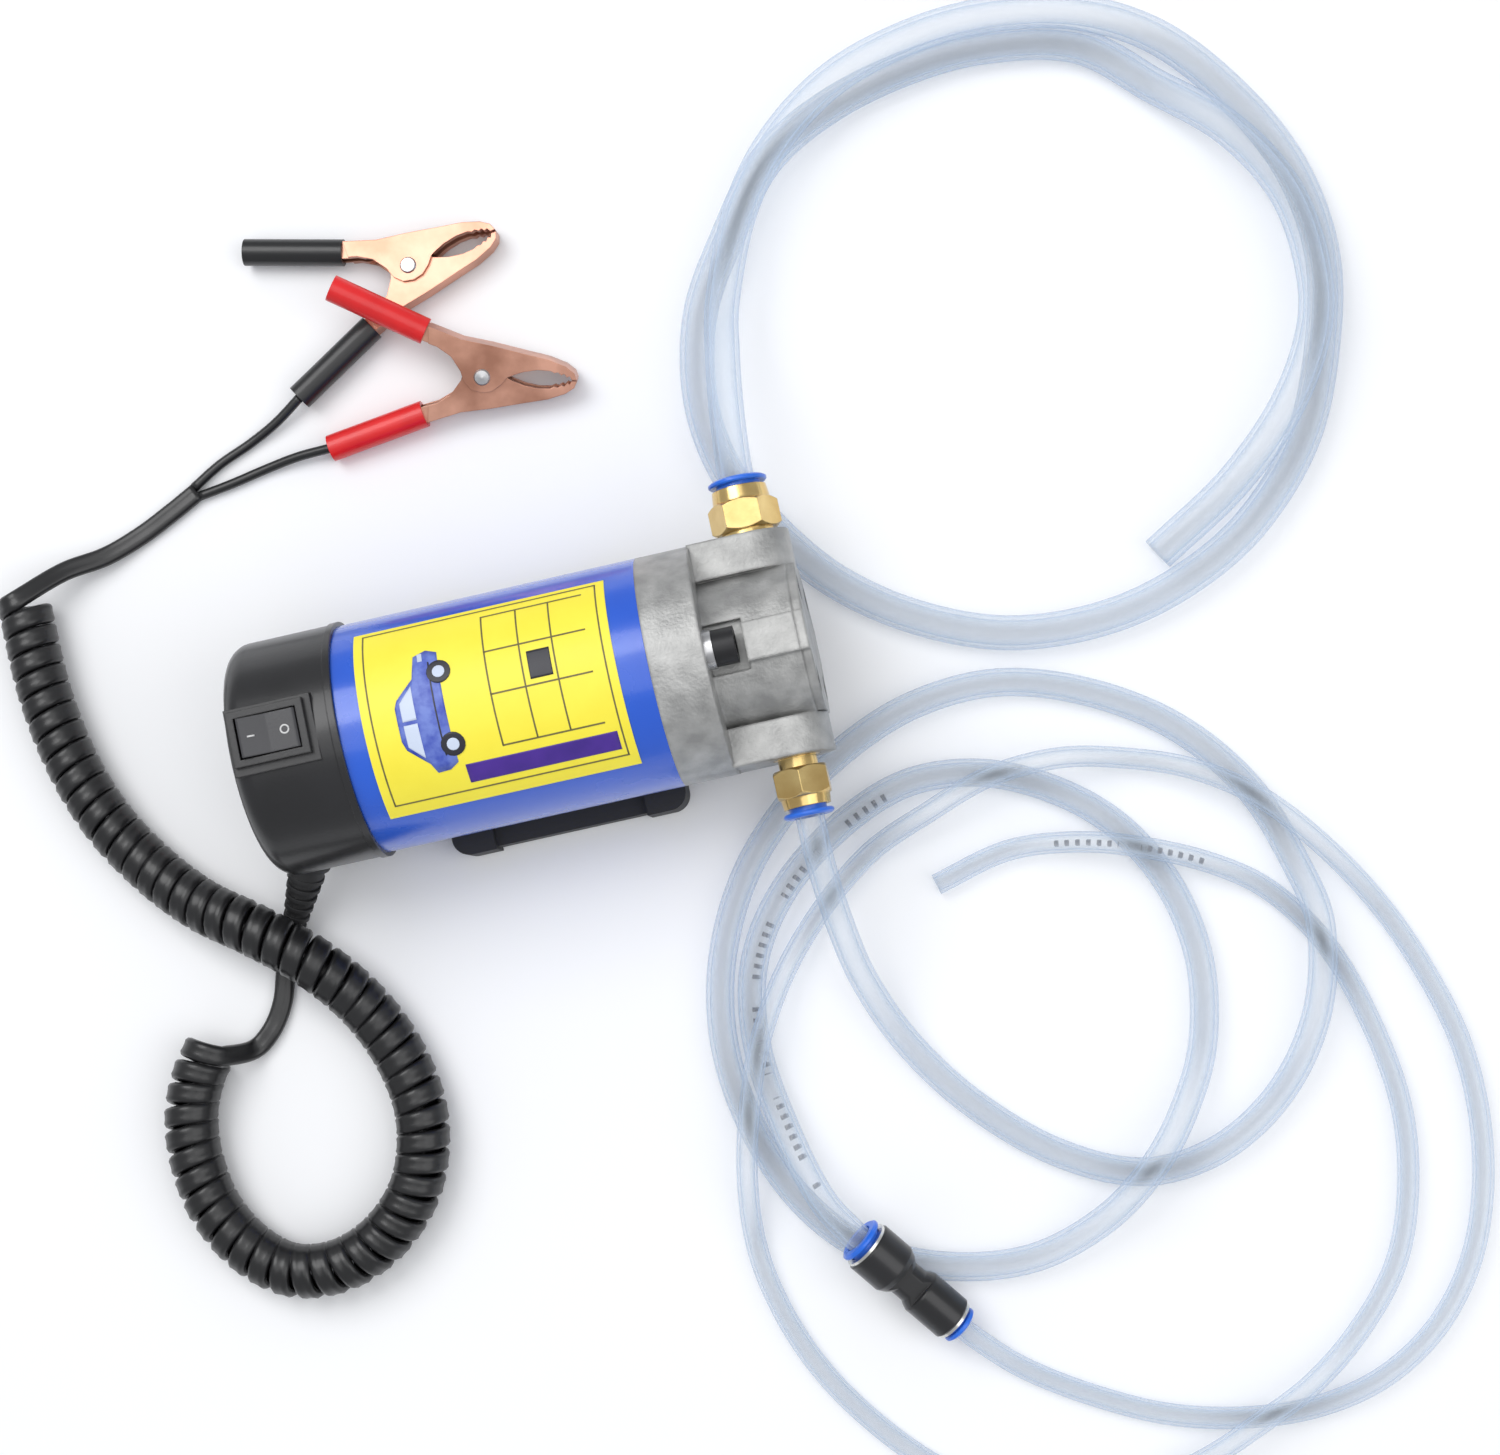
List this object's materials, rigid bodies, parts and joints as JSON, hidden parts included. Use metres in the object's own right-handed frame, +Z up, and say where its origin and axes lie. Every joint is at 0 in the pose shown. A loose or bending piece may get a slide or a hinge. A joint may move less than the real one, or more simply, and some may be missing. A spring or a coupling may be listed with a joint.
{
  "type": "fluid transfer pump",
  "caption": "Electric gear pump for moving fluids: motor with rear rocker switch, cast head with push-in ports, clear hoses and a curly lead with battery clips.",
  "frame": {"origin": "on the bench under the middle of the pump, hoses and lead left out", "axes": "+X along the motor towards the pump head, +Y towards the outlet port, +Z up"},
  "size_m": [0.3983, 0.4196, 0.0713],
  "materials": {
    "blue_paint": "gloss",
    "yellow_label": "satin",
    "ferrite": "matte",
    "steel": "satin",
    "copper": "satin",
    "cast_aluminium": "as cast",
    "carbon": "matte",
    "rubber": "matte",
    "black_steel": "black oxide",
    "brass": "machined",
    "blue_plastic": "satin",
    "black_plastic": "satin",
    "black_rubber_foot": "matte",
    "black_pvc": "satin",
    "red_pvc": "satin",
    "pale_metal": "satin",
    "clear_pvc": "clear"
  },
  "bodies": {
    "pump": {"motor_can": "blue_paint", "name_label": "yellow_label", "magnets": "ferrite", "ball_bearings": "steel", "rear_endbell": "cast_aluminium", "carbon_brushes": "carbon", "brush_springs": "steel", "pump_head": "cast_aluminium", "end_plate": "cast_aluminium", "end_plate_seal": "rubber", "end_plate_screws": "black_steel", "head_screws": "black_steel", "spring_washers": "steel", "shaft_seal": "rubber", "driven_gear_pin": "steel", "outlet_fitting": "brass", "inlet_fitting": "brass", "fitting_seals": "rubber", "rear_cover": "black_plastic", "switch_housing": "black_plastic", "switch_terminals": "brass", "strain_relief": "rubber", "foot_base": "black_rubber_foot", "foot_screws": "steel", "supply_lead": "black_pvc", "curly_lead": "black_pvc", "twin_lead": "black_pvc", "black_wire": "black_pvc", "red_wire": "black_pvc", "red_clip_fixed_arm": "copper", "red_clip_rivet": "steel", "red_clip_spring": "steel", "red_sleeve_fixed": "red_pvc", "black_clip_fixed_arm": "copper", "black_clip_rivet": "steel", "black_clip_spring": "steel", "black_sleeve_fixed": "black_pvc", "coupler_body": "black_plastic", "coupler_bands": "pale_metal", "coupler_seals": "rubber", "outlet_hose": "clear_pvc", "inlet_hose": "clear_pvc", "suction_hose": "clear_pvc"},
    "rotor": {"rotor_shaft": "steel", "armature_core": "steel", "armature_windings": "copper", "commutator": "copper", "drive_gear": "steel"},
    "idler_gear": {"driven_gear": "steel"},
    "rocker": {"switch_rocker": "black_plastic"},
    "outlet_release": {"outlet_collet": "blue_plastic"},
    "inlet_release": {"inlet_collet": "blue_plastic"},
    "coupler_inlet_release": {"coupler_collet_inlet": "blue_plastic"},
    "coupler_suction_release": {"coupler_collet_suction": "blue_plastic"},
    "red_jaw": {"red_clip_moving_arm": "copper", "red_sleeve_moving": "red_pvc"},
    "black_jaw": {"black_clip_moving_arm": "copper", "black_sleeve_moving": "black_pvc"}
  },
  "joints": [
    {"name": "rotor_spin", "type": "hinge", "parent": "pump", "child": "rotor", "pos_m": [0, 0, 0.035], "axis": [1, 0, 0], "continuous": true},
    {"name": "idler_gear_spin", "type": "hinge", "parent": "pump", "child": "idler_gear", "pos_m": [0.068, 0, 0.0229], "axis": [1, 0, 0], "continuous": true},
    {"name": "rocker_tilt", "type": "hinge", "parent": "pump", "child": "rocker", "pos_m": [-0.066, 0.003, 0.0678], "axis": [0, -1, 0], "range_deg": [0, 12]},
    {"name": "outlet_collet_press", "type": "slide", "parent": "pump", "child": "outlet_release", "axis": [0, -1, 0], "range_m": [0, 0.0009], "stiffness_N_per_m": 1500},
    {"name": "inlet_collet_press", "type": "slide", "parent": "pump", "child": "inlet_release", "axis": [0, 1, 0], "range_m": [0, 0.0009], "stiffness_N_per_m": 1500},
    {"name": "coupler_inlet_collet_press", "type": "slide", "parent": "pump", "child": "coupler_inlet_release", "axis": [0.5719, -0.7798, -0.2547], "range_m": [0, 0.0009], "stiffness_N_per_m": 1500},
    {"name": "coupler_suction_collet_press", "type": "slide", "parent": "pump", "child": "coupler_suction_release", "axis": [-0.5719, 0.7798, 0.2547], "range_m": [0, 0.0009], "stiffness_N_per_m": 1500},
    {"name": "red_jaw_open", "type": "hinge", "parent": "pump", "child": "red_jaw", "pos_m": [0.0014, 0.0989, 0.0081], "axis": [0.0008, -0.3619, 0.9322], "range_deg": [0, 28], "stiffness_Nm_per_rad": 0.25},
    {"name": "black_jaw_open", "type": "hinge", "parent": "pump", "child": "black_jaw", "pos_m": [-0.0134, 0.1354, 0.00485], "axis": [0, 0, 1], "range_deg": [0, 28], "stiffness_Nm_per_rad": 0.25}
  ],
  "couplings": [
    {"joint": "idler_gear_spin", "follows": "rotor_spin", "ratio": -1}
  ]
}
